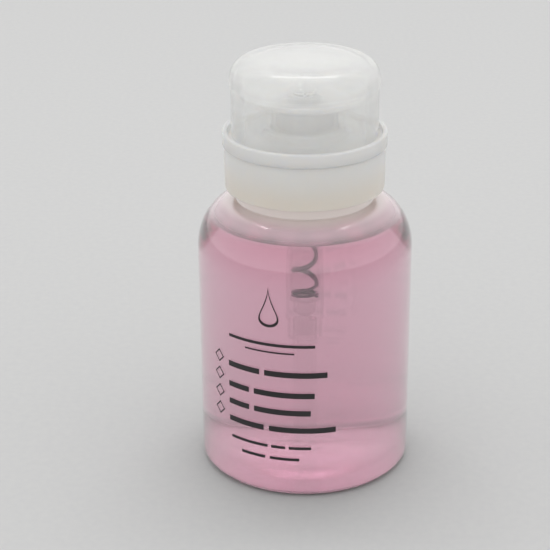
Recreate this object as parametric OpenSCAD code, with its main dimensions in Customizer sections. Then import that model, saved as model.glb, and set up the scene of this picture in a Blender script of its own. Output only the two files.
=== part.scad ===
// Push-down dispenser bottle for nail polish remover, 200 ml.
// Millimetres. The bottle stands on z = 0 with its axis on the Z axis, and the lid's hinge is at the back, +Y.

/* [Bottle] */
// Outer diameter of the bottle body
body_d = 62; // [50:1:76]
// Height of the straight side, up to the shoulder
body_h = 67; // [54:1:84]
// Height of the rounded shoulder
shoulder_h = 14.4; // [12:0.2:18]
// Wall of the blown body
wall_t = 0.9; // [0.7:0.1:1.3]
// Thickness of the base
base_t = 1.2; // [0.9:0.1:1.8]
// Radius of the corner between the side and the base
base_corner_r = 3.2; // [2.4:0.2:5]
// Rise of the base in the middle
push_up_h = 1.4; // [1:0.1:2]
// Width of the ring that the bottle stands on
foot_w = 7.8; // [5:0.2:10]
// Radius of the raised middle of the base, where its slope down to that ring starts
raised_r = 8; // [6:0.5:11]
// Height of the plain band between shoulder and collar
neck_band_h = 3.6; // [3:0.2:5]
// Liquid surface, below the top of the shoulder
fill_below = 5.4; // [4:0.2:9]

/* [Neck and thread] */
// Outer diameter over the bottle's thread
thread_d = 37.4; // [31:0.2:45]
// Rise of the thread in one turn, six threads to the inch
thread_pitch = 4.2333; // [3.8:0.1:5.1]
// How far the thread stands out
thread_h = 1.2; // [1:0.05:1.4]
// Height of the threaded finish above the band
finish_h = 9; // [7.4:0.2:12]
// Wall of the neck under the thread
neck_wall_t = 1.3; // [1.1:0.1:1.6]
// Thickness of the neck gasket
gasket_t = 1; // [0.8:0.1:1.5]

/* [Collar and deck] */
// Wall of the collar's inner and outer skirts
skirt_t = 1.1; // [0.9:0.05:1.3]
// Space between the two skirts
skirt_space = 1.5; // [1.2:0.1:3]
// Thickness of the collar's top flange and of the deck
flange_t = 1.2; // [1:0.1:1.5]
// Height of the bead ring above the collar
bead_h = 4; // [3.6:0.1:5]

/* [Lid] */
// Gap between the lid's wall and the lip around the deck
lid_gap = 1.05; // [0.8:0.05:1.6]
// Wall of the lid
lid_t = 1.1; // [0.9:0.1:1.3]
// Height from the deck to the underside of the rim
lid_wall_h = 15.1; // [14.6:0.1:18]
// How far the rim stands out for the finger
rim_out = 0.55; // [0.3:0.05:0.8]
// Height of the domed top above the rim's lower edge
dome_h = 7.5; // [6.6:0.1:9]
// Radius of the hinge barrel
barrel_r = 2; // [1.8:0.1:2.2]
// Radius of the hinge pins
pin_r = 0.95; // [0.8:0.05:1.1]
// Width of the hinge barrel
barrel_w = 7.6; // [6:0.2:10]

/* [Dish and stem] */
// Gap between the dish's rim and the lid's wall
dish_gap = 1.55; // [1.4:0.05:2.2]
// Travel of the dish
stroke = 6; // [5:0.1:7.2]
// Outer diameter of the stem
stem_d = 5.2; // [5:0.1:6.2]
// Bore of the stem
stem_bore_d = 2.6; // [2.2:0.1:2.8]

/* [Pump] */
// Bore of the pump cylinder
cylinder_bore_d = 11; // [10.6:0.2:13.2]
// Wall of the pump cylinder
cylinder_wall_t = 1.1; // [0.9:0.1:1.3]
// Bore of the lower tube that holds the spring
tube_bore_d = 6.4; // [5.6:0.1:7.6]
// Wall of the lower tube
tube_wall_t = 0.75; // [0.6:0.05:0.9]
// Outer diameter of the dip tube
dip_d = 5; // [4.6:0.1:5.2]
// Wall of the dip tube
dip_wall_t = 0.8; // [0.6:0.1:1]

/* [Spring and balls] */
// Diameter of the spring wire
wire_d = 0.84; // [0.6:0.04:0.9]
// Gap between the spring and the lower tube
spring_gap = 0.33; // [0.2:0.01:0.5]
// Rise of the spring's open coils in one turn
coil_pitch = 4.6; // [4:0.1:5.2]
// Diameter of the valve balls
ball_d = 4; // [3.5:0.1:4.8]

/* [Fits] */
// Gap between a piston, a guide or a pin and its bore
running_gap = 0.07; // [0.03:0.01:0.1]
// Gap between pieces that are pressed or snapped together
press_gap = 0.02; // [0.01:0.01:0.05]
// Gap between moving pieces that don't guide each other
free_gap = 0.3; // [0.2:0.05:0.4]
// Gap where a flange lies against its seat
seat_gap = 0.1; // [0.05:0.05:0.2]

/* [Hidden] */
$fn = 96;

// Heights, from the base up
shoulder_z = body_h + shoulder_h;
band_z = shoulder_z + neck_band_h;
neck_z = band_z + finish_h;
gasket_z = neck_z + gasket_t;
housing_top_z = gasket_z + flange_t;
collar_flange_z = housing_top_z + seat_gap;
collar_z = collar_flange_z + flange_t;
spigot_h = 1.4;
deck_z = collar_z + spigot_h + flange_t;
bead_z = collar_z + bead_h;

// Neck
body_r = body_d / 2;
thread_r = thread_d / 2;
root_r = thread_r - thread_h;
bore_r = root_r - neck_wall_t;
band_step = 0.7;
band_r = thread_r + band_step;
band_wall_t = 1.6;
neck_taper_h = 1.2;
shoulder_wall_t = 0.7;
slope_steps = 10;

// Thread, and how far its ridges sink into the wall that carries them
ridge_root_w = 2.2;
ridge_crest_w = 1;
ridge_sink = 0.3;
thread_lead_in = 3.1;
thread_land = 0.2;
thread_start_z = band_z + thread_lead_in;
thread_turns = (finish_h - thread_lead_in - ridge_root_w / 2 - thread_land) / thread_pitch;
thread_steps = 36;
thread_fade = 24;
fade_foot = 4;

// Collar
thread_gap = 0.35;
skirt_r = thread_r + thread_gap;
skirt_lift = 0.6;
collar_r = skirt_r + 2 * skirt_t + skirt_space;
collar_draft = 0.25;
collar_edge = 0.3;
collar_thread_land = 0.1;
collar_thread_z = band_z + skirt_lift + ridge_root_w / 2 + collar_thread_land;
collar_thread_angle = 360 * (0.5 - (thread_start_z - collar_thread_z) / thread_pitch);

// The hub moves outside the pump's cap, in a cup of the housing
cylinder_r = cylinder_bore_d / 2;
cylinder_out_r = cylinder_r + cylinder_wall_t;
cap_skirt_t = 1.05;
cap_wall_t = 1;
hub_wall_t = 1.2;
hub_gap = 0.53;
hub_r = cylinder_out_r + press_gap + cap_skirt_t + hub_gap + hub_wall_t;
cup_wall_t = 1.2;
cup_gap = 1.6;
cup_r = hub_r + cup_gap + cup_wall_t;
cup_hole_gap = 0.4;
collar_hole_r = cup_r + cup_hole_gap;
snap_out = 0.5;
snap_r = collar_hole_r + snap_out;
snap_z = collar_z + seat_gap;
snap_h = 0.8;
spigot_out = 0.55;
spigot_r = skirt_r + skirt_t + spigot_out;
bead_out = 0.6;
bead_r = collar_r + bead_out;
bead_edge = 0.3;
lip_t = 1.45;
guide_r = hub_r + free_gap;
guide_wall_t = 1.7;
guide_flare = 1.1;

// Lid
lid_r = bead_r - lip_t - lid_gap;
lid_lift = 0.2;
lid_bottom_z = deck_z + lid_lift;
rim_r = lid_r + rim_out;
rim_z = deck_z + lid_wall_h;
rim_step = 0.2;
dome_power = 7.5;
dome_steps = 28;
dome_flatter = 0.4;
top_z = rim_z + dome_h;

// Hinge, behind the lid
hinge_back = 0.75;
hinge_lift = 0.4;
hinge_y = lid_r + barrel_r + hinge_back;
hinge_z = bead_z + barrel_r + hinge_lift;
ear_w = 2.5;
ear_wall_t = 1.15;
ear_foot_in = 0.8;
ear_foot_h = 0.4;
ear_x = barrel_w / 2 + free_gap;
pin_recess = 0.4;
pin_end_x = ear_x + ear_w - pin_recess;
web_h = 3.2;

// Dish
dish_r = lid_r - lid_t - dish_gap;
dish_below = 2.4;
dish_depth = 2.3;
dish_rim_z = rim_z - dish_below;
dish_floor_z = dish_rim_z - dish_depth;
dish_t = 1.1;
dish_under_z = dish_floor_z - dish_t;
dish_edge = 0.2;
dish_rim_w = 1.1;
dish_rim_h = 1.2;
dish_chamfer = 0.6;
dish_under_w = 3;
dish_floor_w = 3.4;
boss_r = 4.3;
hub_depth = 4.6;
hub_bottom_z = deck_z - hub_depth;
end_gap = 0.6;
guide_z = dish_under_z - stroke - end_gap;

// Pump
cup_space = 2.3;
cup_floor_z = hub_bottom_z - stroke - cup_space;
cup_underside_z = cup_floor_z - flange_t;
cylinder_rise = 3.8;
cylinder_top_z = cup_floor_z + cylinder_rise;
cap_z = cylinder_top_z + flange_t;
cap_sleeve_h = 6.1;
cap_lift = 0.8;
flange_r = skirt_r - 0.45;
gasket_r = flange_r - 0.2;
gasket_bore_r = bore_r - 0.2;
tube_r = tube_bore_d / 2;
tube_out_r = tube_r + tube_wall_t;
cone_h = cylinder_out_r - tube_out_r;
seat_ring_t = 0.6;
ball_side_gap = 0.35;
ball_chamber_r = ball_d / 2 + ball_side_gap;
valve_hole_r = 1.2;
valve_hole_h = 1.2;
ball_travel = 0.9;
ball_end_gap = 0.04;
cylinder_foot_lead = 0.3;
dip_socket_h = 6.2;
dip_socket_wall_t = 1.1;
dip_socket_edge = 0.4;
vent_r = 0.5;
vent_below = 0.8;
vent_z = cup_underside_z - vent_below;

// Stem and piston
stem_r = stem_d / 2;
stem_bore_r = stem_bore_d / 2;
sleeve_end_z = cylinder_top_z - cap_sleeve_h;
seal_top_z = sleeve_end_z - seat_gap;
seal_h = 4.8;
seal_wall_t = 0.9;
seal_web_t = 0.8;
seal_lip_r = cylinder_r - running_gap;
seal_lip_t = 0.5;
seal_skirt_t = 0.8;
seal_relief = 0.2;
seal_edge = 0.4;
seal_lip_h = 0.8;
seal_top_edge = 0.1;
seal_play = 0.2;
piston_top_z = seal_top_z - seal_h - seal_play;
piston_t = 1.2;
piston_side_gap = 1.3;
piston_r = cylinder_r - piston_side_gap;
piston_spigot_h = 2.4;
piston_plug_h = 3;
spigot_gap = 0.13;
piston_hole_r = 0.7;
spring_top_z = piston_top_z - piston_t;
cylinder_foot_z = spring_top_z - stroke - end_gap;
lower_tube_h = 19;
seat_ring_z = cylinder_foot_z - lower_tube_h;
outlet_lift = 0.8;
outlet_side_gap = 0.3;

// Spring
spring_z = seat_ring_z + seat_ring_t;
coil_r = tube_r - spring_gap - wire_d / 2;
closed_gap = 0.1;
closed_pitch = wire_d + closed_gap;
low_closed_turns = 1.5;
closed_turns = 2.5;
wire_sides = 8;
coil_steps = 24;

// Valve balls: how high a ball sits over the narrow edge of a 45 degree seat
ball_r = ball_d / 2;
ball_seat_gap = 0.02;
function seated_h(edge_r) = sqrt(2) * (ball_r + ball_seat_gap) - edge_r;
inlet_edge_z = seat_ring_z - ball_travel - ball_end_gap - ball_r - seated_h(valve_hole_r);
inlet_ball_z = inlet_edge_z + seated_h(valve_hole_r);
socket_top_z = inlet_edge_z - valve_hole_h;
outlet_seat_h = 1;
stem_below = 5.2;
stem_socket_h = 4.2;
stem_top_z = dish_rim_z - stem_below;
outlet_ball_z = stem_top_z - outlet_seat_h + seated_h(stem_bore_r);
outlet_end_gap = 0.1;
nozzle_z = outlet_ball_z + ball_r + outlet_lift + outlet_end_gap;
nozzle_r = 3.15;
nozzle_t = 1.2;
nozzle_out = 0.4;
nozzle_hole_r = 0.6;
dip_end_gap = 1.8;
dip_end_z = push_up_h + base_t + dip_end_gap;
dip_cut_angle = 30;

// Clear way through the liquid for the pump
liquid_gap = 0.05;
liquid_bore_gap = 0.5;
fill_z = shoulder_z - fill_below;

// Points on an arc of an ellipse about (centre_r, centre_z), from angle a0 to a1
function arc(centre_r, centre_z, radius_r, radius_z, a0, a1, steps) = [
    for (i = [0 : steps])
        let (a = a0 + (a1 - a0) * i / steps)
            [centre_r + radius_r * cos(a), centre_z + radius_z * sin(a)]
];

// Height of the base at radius r of its slope
function slope_z(r) = push_up_h * (1 + cos(180 * (r - raised_r) / slope_w())) / 2;
function slope_w() = foot_r() - raised_r;
function foot_r() = body_r - base_corner_r - foot_w;

// Underside of the base, or its inner face when lift is the base's thickness
function base_curve(start_r, lift) = [
    [start_r, push_up_h + lift],
    for (i = [0 : slope_steps])
        let (r = raised_r + slope_w() * i / slope_steps)
            [r, slope_z(r) + lift]
];

// Inner face of the bottle, moved in by gap, from the base up to the shoulder's angle
function inner_side(gap, angle) = concat(
    arc(body_r - base_corner_r, base_corner_r, base_corner_r - wall_t - gap,
        base_corner_r - base_t - gap, -90, 0, 6),
    arc(band_r - band_wall_t, body_h, body_r - wall_t - gap - band_r + band_wall_t,
        shoulder_h - shoulder_wall_t - gap, 0, angle, 20)
);

// Outline of the domed top, from its edge to the axis
function dome(edge_r, edge_z, height) = [
    for (i = [dome_steps : -1 : 0])
        let (r = edge_r * sin(90 * i / dome_steps))
            [r, edge_z + height * sqrt(1 - pow(r / edge_r, dome_power))]
];

// Height of the spring's centre line after t turns
function open_turns() = (spring_top_z - spring_z - wire_d - closed_turns * closed_pitch) / coil_pitch;
function all_turns() = open_turns() + closed_turns;
function coil_z(t) = spring_z + wire_d / 2 + closed_pitch * min(t, low_closed_turns)
    + coil_pitch * max(0, min(t - low_closed_turns, open_turns()))
    + closed_pitch * max(0, t - low_closed_turns - open_turns());

// Closed tube made of rings of points
module swept(rings) {
    sides = len(rings[0]);
    last = len(rings) - 1;
    points = [for (ring = rings) each ring];
    faces = concat(
        [[for (j = [0 : sides - 1]) j]],
        [[for (j = [sides - 1 : -1 : 0]) last * sides + j]],
        [for (i = [0 : last - 1]) for (j = [0 : sides - 1])
            let (k = (j + 1) % sides)
                [i * sides + j, (i + 1) * sides + j, i * sides + k]],
        [for (i = [0 : last - 1]) for (j = [0 : sides - 1])
            let (k = (j + 1) % sides)
                [i * sides + k, (i + 1) * sides + j, (i + 1) * sides + k]]
    );
    polyhedron(points = points, faces = faces, convexity = 10);
}

// Thread ridge. It stands out of root radius by height, inwards if height is negative.
module ridge(root, height, start_angle, start_z) {
    count = ceil(thread_turns * thread_steps);
    sink = sign(height) * ridge_sink;
    rings = [
        for (i = [0 : count])
            let (
                turned = 360 * thread_turns * i / count,
                fade = min(1, (turned + fade_foot) / thread_fade,
                    (360 * thread_turns - turned + fade_foot) / thread_fade),
                a = start_angle + turned,
                z = start_z + thread_pitch * turned / 360,
                foot = root - sink,
                crest = root + height * fade,
                section = [
                    [foot, z - ridge_root_w / 2],
                    [foot, z + ridge_root_w / 2],
                    [crest, z + ridge_crest_w / 2],
                    [crest, z - ridge_crest_w / 2]
                ],
                ordered = height > 0 ? section : [for (j = [3 : -1 : 0]) section[j]]
            )
                [for (p = ordered) [p[0] * cos(a), p[0] * sin(a), p[1]]]
    ];
    swept(rings);
}

module bottle() {
    outer = concat(
        base_curve(0, 0),
        arc(body_r - base_corner_r, base_corner_r, base_corner_r, base_corner_r, -90, 0, 8),
        arc(band_r, body_h, body_r - band_r, shoulder_h, 0, 90, 24),
        [[band_r, band_z], [root_r, band_z], [root_r, neck_z]]
    );
    inner = concat(
        base_curve(0, base_t),
        inner_side(0, 90),
        [
            [band_r - band_wall_t, band_z - neck_taper_h],
            [bore_r, band_z],
            [bore_r, neck_z]
        ]
    );
    count = len(inner);
    color([0.93, 0.80, 0.86, 0.35])
    union() {
        rotate_extrude()
            polygon(concat(outer, [for (i = [count - 1 : -1 : 0]) inner[i]]));
        ridge(root_r, thread_h, 0, thread_start_z);
    }
}

module remover_liquid() {
    low_r = tube_out_r + liquid_bore_gap;
    high_r = cylinder_out_r + liquid_bore_gap;
    step_z = cylinder_foot_z - cone_h - liquid_bore_gap;
    rise = (fill_z - body_h) / (shoulder_h - shoulder_wall_t - liquid_gap);
    color([0.86, 0.50, 0.62, 0.6])
    rotate_extrude()
        polygon(concat(
            base_curve(low_r, base_t + liquid_gap),
            inner_side(liquid_gap, asin(rise)),
            [[high_r, fill_z], [high_r, step_z], [low_r, step_z]]
        ));
}

module screw_collar() {
    top_r = collar_r + collar_draft;
    color([0.84, 0.82, 0.80])
    union() {
        rotate_extrude()
            polygon([
                [collar_hole_r, collar_z],
                [collar_hole_r, collar_flange_z],
                [skirt_r, collar_flange_z],
                [skirt_r, band_z + skirt_lift],
                [skirt_r + skirt_t, band_z + skirt_lift],
                [skirt_r + skirt_t, collar_flange_z],
                [top_r - skirt_t, collar_flange_z],
                [collar_r - skirt_t, band_z],
                [collar_r - collar_edge, band_z],
                [collar_r, band_z + collar_edge],
                [top_r, collar_z],
                [spigot_r, collar_z],
                [spigot_r, collar_z + spigot_h],
                [spigot_r - skirt_t, collar_z + spigot_h],
                [spigot_r - skirt_t, collar_z]
            ]);
        ridge(skirt_r, -thread_h, collar_thread_angle,
            thread_start_z + thread_pitch * (collar_thread_angle / 360 - 0.5));
    }
}

// One ear of the lid's hinge, with its bore through it
module hinge_ear(x) {
    ear_r = pin_r + running_gap + ear_wall_t;
    translate([x, 0, 0])
    rotate([90, 0, 90])
    linear_extrude(ear_w)
    difference() {
        union() {
            translate([hinge_y, hinge_z])
                circle(ear_r);
            polygon([
                [hinge_y - ear_r, hinge_z],
                [hinge_y - ear_r, deck_z],
                [bead_r - ear_foot_in, collar_z + ear_foot_h],
                [hinge_y + ear_r, bead_z],
                [hinge_y + ear_r, hinge_z]
            ]);
        }
        translate([hinge_y, hinge_z])
            circle(pin_r + running_gap);
    }
}

module deck_ring() {
    lip_r = bead_r - lip_t;
    color([0.86, 0.85, 0.83])
    union() {
        rotate_extrude()
            polygon([
                [guide_r, collar_z + spigot_h],
                [spigot_r + press_gap, collar_z + spigot_h],
                [spigot_r + press_gap, collar_z],
                [bead_r - bead_edge, collar_z],
                [bead_r, collar_z + bead_edge],
                [bead_r, bead_z - bead_edge],
                [bead_r - bead_edge, bead_z],
                [lip_r + bead_edge, bead_z],
                [lip_r, bead_z - bead_edge],
                [lip_r, deck_z],
                [guide_r + guide_wall_t + guide_flare, deck_z],
                [guide_r + guide_wall_t, deck_z + guide_flare],
                [guide_r + guide_wall_t, guide_z - bead_edge],
                [guide_r + guide_wall_t - bead_edge, guide_z],
                [guide_r + bead_edge, guide_z],
                [guide_r, guide_z - bead_edge]
            ]);
        hinge_ear(ear_x);
        hinge_ear(-ear_x - ear_w);
    }
}

module flip_lid() {
    inner_r = lid_r - lid_t;
    inner_dome = dome(inner_r, rim_z - lid_t + dome_flatter, dome_h - dome_flatter);
    count = len(inner_dome);
    color([0.88, 0.88, 0.88, 0.7])
    union() {
        rotate_extrude()
            polygon(concat(
                [[inner_r, lid_bottom_z], [lid_r, lid_bottom_z], [lid_r, rim_z - rim_step]],
                dome(rim_r, rim_z, dome_h),
                [for (i = [count - 1 : -1 : 0]) inner_dome[i]]
            ));
        difference() {
            translate([-barrel_w / 2, 0, hinge_z - web_h / 2])
                cube([barrel_w, hinge_y, web_h]);
            cylinder(r = lid_r - lid_t / 2, h = top_z);
        }
        translate([-barrel_w / 2, hinge_y, hinge_z])
            rotate([0, 90, 0])
                cylinder(r = barrel_r, h = barrel_w);
        translate([-pin_end_x, hinge_y, hinge_z])
            rotate([0, 90, 0])
                cylinder(r = pin_r, h = 2 * pin_end_x);
    }
}

module neck_gasket() {
    color([0.92, 0.92, 0.90])
    translate([0, 0, neck_z])
    difference() {
        cylinder(r = gasket_r, h = gasket_t);
        translate([0, 0, -1])
            cylinder(r = gasket_bore_r, h = gasket_t + 2);
    }
}

module pump_housing() {
    inner_cone_h = cylinder_r - tube_r;
    socket_r = dip_d / 2 + press_gap;
    color([0.90, 0.88, 0.86])
    difference() {
        rotate_extrude()
            polygon([
                [cup_r - cup_wall_t, snap_z + snap_h],
                [cup_r - cup_wall_t, cup_floor_z],
                [cylinder_out_r, cup_floor_z],
                [cylinder_out_r, cylinder_top_z],
                [cylinder_r, cylinder_top_z],
                [cylinder_r, cylinder_foot_z + cylinder_foot_lead],
                [tube_r, cylinder_foot_z + cylinder_foot_lead - inner_cone_h],
                [tube_r, seat_ring_z],
                [ball_chamber_r, seat_ring_z],
                [ball_chamber_r, inlet_edge_z + ball_chamber_r - valve_hole_r],
                [valve_hole_r, inlet_edge_z],
                [valve_hole_r, socket_top_z],
                [socket_r, socket_top_z],
                [socket_r, socket_top_z - dip_socket_h],
                [socket_r + dip_socket_wall_t, socket_top_z - dip_socket_h],
                [socket_r + dip_socket_wall_t, socket_top_z - dip_socket_edge],
                [tube_out_r, socket_top_z],
                [tube_out_r, cylinder_foot_z - cone_h],
                [cylinder_out_r, cylinder_foot_z],
                [cylinder_out_r, cup_underside_z],
                [cup_r, cup_underside_z],
                [cup_r, gasket_z],
                [flange_r, gasket_z],
                [flange_r, housing_top_z],
                [cup_r, housing_top_z],
                [cup_r, snap_z],
                [snap_r, snap_z],
                [snap_r, snap_z + snap_h / 2],
                [cup_r, snap_z + snap_h]
            ]);
        translate([0, 0, vent_z])
            rotate([0, 90, 0])
                cylinder(r = vent_r, h = cylinder_out_r + 1);
    }
}

module cylinder_cap() {
    guide = stem_r + running_gap;
    grip = cylinder_out_r + press_gap;
    color([0.80, 0.82, 0.84])
    rotate_extrude()
        polygon([
            [guide, sleeve_end_z],
            [guide + cap_wall_t, sleeve_end_z],
            [guide + cap_wall_t, cylinder_top_z],
            [grip, cylinder_top_z],
            [grip, cup_floor_z + cap_lift],
            [grip + cap_skirt_t, cup_floor_z + cap_lift],
            [grip + cap_skirt_t, cap_z],
            [guide, cap_z]
        ]);
}

module dip_tube() {
    tube_top_z = socket_top_z - press_gap;
    reach = body_r;
    color([0.93, 0.88, 0.90, 0.8])
    difference() {
        translate([0, 0, dip_end_z])
            cylinder(d = dip_d, h = tube_top_z - dip_end_z);
        cylinder(d = dip_d - 2 * dip_wall_t, h = neck_z);
        translate([-dip_d / 2, 0, dip_end_z])
            rotate([0, dip_cut_angle, 0])
                translate([-reach / 2, -reach / 2, -reach])
                    cube([reach, reach, reach]);
    }
}

module return_spring() {
    count = ceil(all_turns() * coil_steps);
    rings = [
        for (i = [0 : count])
            let (t = all_turns() * i / count, a = 360 * t)
                [for (j = [0 : wire_sides - 1])
                    let (
                        b = 360 * j / wire_sides,
                        r = coil_r - wire_d / 2 * cos(b)
                    )
                        [r * cos(a), r * sin(a), coil_z(t) + wire_d / 2 * sin(b)]]
    ];
    color([0.55, 0.53, 0.55])
    swept(rings);
}

module spring_seat() {
    color([0.85, 0.85, 0.85])
    translate([0, 0, seat_ring_z])
    difference() {
        cylinder(r = tube_r - press_gap, h = seat_ring_t);
        translate([0, 0, -1])
            cylinder(r = valve_hole_r, h = seat_ring_t + 2);
    }
}

module valve_ball(z) {
    color([0.75, 0.75, 0.78])
    translate([0, 0, z])
        sphere(r = ball_r);
}

module press_dish() {
    socket = stem_r + press_gap;
    chamber = ball_r + outlet_side_gap;
    recess = nozzle_r + press_gap;
    color([0.90, 0.90, 0.90])
    rotate_extrude()
        polygon([
            [socket, stem_top_z - stem_socket_h],
            [boss_r, stem_top_z - stem_socket_h],
            [boss_r, dish_under_z],
            [hub_r - hub_wall_t, dish_under_z],
            [hub_r - hub_wall_t, hub_bottom_z],
            [hub_r, hub_bottom_z],
            [hub_r, dish_under_z],
            [hub_r + dish_under_w, dish_under_z],
            [dish_r - dish_chamfer, dish_rim_z - dish_rim_h - dish_chamfer],
            [dish_r, dish_rim_z - dish_rim_h],
            [dish_r, dish_rim_z - dish_edge],
            [dish_r - dish_edge, dish_rim_z],
            [dish_r - dish_rim_w + dish_edge, dish_rim_z],
            [dish_r - dish_rim_w, dish_rim_z - dish_edge],
            [hub_r + dish_floor_w, dish_floor_z],
            [boss_r, dish_floor_z],
            [boss_r, nozzle_z + nozzle_t - nozzle_out],
            [recess, nozzle_z + nozzle_t - nozzle_out],
            [recess, nozzle_z],
            [chamber, nozzle_z],
            [chamber, stem_top_z],
            [socket, stem_top_z]
        ]);
}

module nozzle_insert() {
    slot_w = 0.8;
    slot_h = 0.5;
    color([0.95, 0.95, 0.95])
    translate([0, 0, nozzle_z])
    difference() {
        cylinder(r = nozzle_r, h = nozzle_t);
        translate([0, 0, -1])
            cylinder(r = nozzle_hole_r, h = nozzle_t + 2);
        for (a = [0, 90])
            rotate([0, 0, a])
                translate([-nozzle_r - 1, -slot_w / 2, nozzle_t - slot_h])
                    cube([2 * nozzle_r + 2, slot_w, slot_h + 1]);
    }
}

module stem() {
    foot_z = piston_top_z;
    color([0.92, 0.92, 0.92])
    rotate_extrude()
        polygon([
            [stem_bore_r, foot_z],
            [stem_r, foot_z],
            [stem_r, stem_top_z],
            [stem_bore_r + outlet_seat_h, stem_top_z],
            [stem_bore_r, stem_top_z - outlet_seat_h]
        ]);
}

module piston() {
    spring_spigot_r = coil_r - wire_d / 2 - spigot_gap;
    plug_r = stem_bore_r - press_gap;
    color([0.88, 0.88, 0.90])
    rotate_extrude()
        polygon([
            [piston_hole_r, spring_top_z - piston_spigot_h],
            [spring_spigot_r, spring_top_z - piston_spigot_h],
            [spring_spigot_r, spring_top_z],
            [piston_r, spring_top_z],
            [piston_r, piston_top_z],
            [plug_r, piston_top_z],
            [plug_r, piston_top_z + piston_plug_h],
            [piston_hole_r, piston_top_z + piston_plug_h]
        ]);
}

module piston_seal() {
    foot_z = seal_top_z - seal_h;
    sleeve_in = stem_r + press_gap;
    sleeve_out = sleeve_in + seal_wall_t;
    web_low = foot_z + (seal_h - seal_web_t) / 2;
    web_high = web_low + seal_web_t;
    color([0.85, 0.90, 0.95])
    rotate_extrude()
        polygon([
            [sleeve_in, foot_z],
            [sleeve_out, foot_z],
            [sleeve_out, web_low],
            [seal_lip_r - seal_skirt_t, web_low],
            [seal_lip_r - seal_lip_t, foot_z + seal_edge],
            [seal_lip_r, foot_z + seal_edge],
            [seal_lip_r - seal_relief, foot_z + seal_edge + seal_lip_h],
            [seal_lip_r - seal_relief, seal_top_z - seal_top_edge - seal_lip_h],
            [seal_lip_r, seal_top_z - seal_top_edge],
            [seal_lip_r - seal_lip_t, seal_top_z - seal_top_edge],
            [seal_lip_r - seal_skirt_t, web_high],
            [sleeve_out, web_high],
            [sleeve_out, seal_top_z],
            [sleeve_in, seal_top_z]
        ]);
}

bottle();
remover_liquid();
screw_collar();
deck_ring();
flip_lid();
neck_gasket();
pump_housing();
cylinder_cap();
dip_tube();
return_spring();
spring_seat();
valve_ball(inlet_ball_z);  // inlet_ball
press_dish();
nozzle_insert();
stem();
piston();
piston_seal();
valve_ball(outlet_ball_z);  // outlet_ball
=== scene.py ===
# %% [markdown]
# A push-down dispenser bottle, in cells. The bottle is clear, the liquid is pink, and the cap is
# milky and frosted plastic. Nearly every piece is round, so most of this lesson is about one idea:
# draw half an outline, turn it about the bottle's axis, and give the result the right plastic. The
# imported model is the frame. It says where each piece sits and what it moves with.

import math

import bmesh
import bpy
from mathutils import Matrix, Vector


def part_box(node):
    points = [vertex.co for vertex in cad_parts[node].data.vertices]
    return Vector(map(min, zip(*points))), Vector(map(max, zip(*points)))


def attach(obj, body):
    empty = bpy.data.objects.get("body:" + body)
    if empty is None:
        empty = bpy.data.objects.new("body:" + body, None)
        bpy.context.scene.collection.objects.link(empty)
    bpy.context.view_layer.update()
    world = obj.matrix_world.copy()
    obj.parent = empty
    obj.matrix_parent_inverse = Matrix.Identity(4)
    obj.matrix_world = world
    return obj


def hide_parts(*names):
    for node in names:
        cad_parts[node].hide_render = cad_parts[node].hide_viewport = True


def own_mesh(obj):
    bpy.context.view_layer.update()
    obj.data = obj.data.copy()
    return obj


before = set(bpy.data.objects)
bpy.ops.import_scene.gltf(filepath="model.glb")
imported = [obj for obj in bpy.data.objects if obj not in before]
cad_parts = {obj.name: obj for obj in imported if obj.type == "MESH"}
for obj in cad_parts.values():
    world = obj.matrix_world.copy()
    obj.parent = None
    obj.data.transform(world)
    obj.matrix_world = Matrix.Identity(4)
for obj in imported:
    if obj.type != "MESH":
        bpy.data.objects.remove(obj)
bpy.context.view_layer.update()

# %% [markdown]
# The camera comes first. Its place was found by matching the outlines of the base, the collar and the
# lid, so it is written as a distance, a height and three angles, and not as a matrix of numbers.

# %% Place the camera
MM = 0.001
CAMERA_DISTANCE = 434.0 * MM
CAMERA_HEIGHT = 241.9 * MM
CAMERA_PITCH = math.radians(23.10)
CAMERA_YAW = math.radians(-1.15)
CAMERA_ROLL = math.radians(-0.45)
PHOTO_WIDTH = 550
FOCAL_PIXELS = 1614
SENSOR_WIDTH = 36.0


def in_scene(name, data):
    """A new object in the scene, made from a mesh, a light or a camera."""
    obj = bpy.data.objects.new(name, data)
    bpy.context.scene.collection.objects.link(obj)
    return obj


def make_camera():
    """A camera in front of the bottle that looks slightly down on it."""
    forward = Vector((
        math.sin(CAMERA_YAW) * math.cos(CAMERA_PITCH),
        math.cos(CAMERA_YAW) * math.cos(CAMERA_PITCH),
        -math.sin(CAMERA_PITCH),
    ))
    level = Vector((math.cos(CAMERA_YAW), -math.sin(CAMERA_YAW), 0))
    above = level.cross(forward)
    right = level * math.cos(CAMERA_ROLL) + above * math.sin(CAMERA_ROLL)
    up = above * math.cos(CAMERA_ROLL) - level * math.sin(CAMERA_ROLL)
    data = bpy.data.cameras.new("camera")
    data.sensor_width = SENSOR_WIDTH
    data.lens = FOCAL_PIXELS / PHOTO_WIDTH * SENSOR_WIDTH
    data.clip_start = 0.01
    camera = in_scene("camera", data)
    turn = Matrix((right, up, -forward)).transposed().to_4x4()
    camera.matrix_world = Matrix.Translation((0, -CAMERA_DISTANCE, CAMERA_HEIGHT)) @ turn
    bpy.context.scene.camera = camera
    return camera


camera = make_camera()
print("lens in mm:", round(camera.data.lens, 1))

# %% [markdown]
# A clear bottle shows what is round it more than it shows itself, so most of the light is one soft,
# even sky. One wide soft panel hangs overhead, a little behind the bottle. It draws the light band on
# the shoulder, the arcs on the lid and the thin lines along its rim. The view transform is the plain
# one, so a grey stays that grey. Light that enters a clear bottle crosses many skins before it
# leaves, so it is allowed many bounces.

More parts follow.
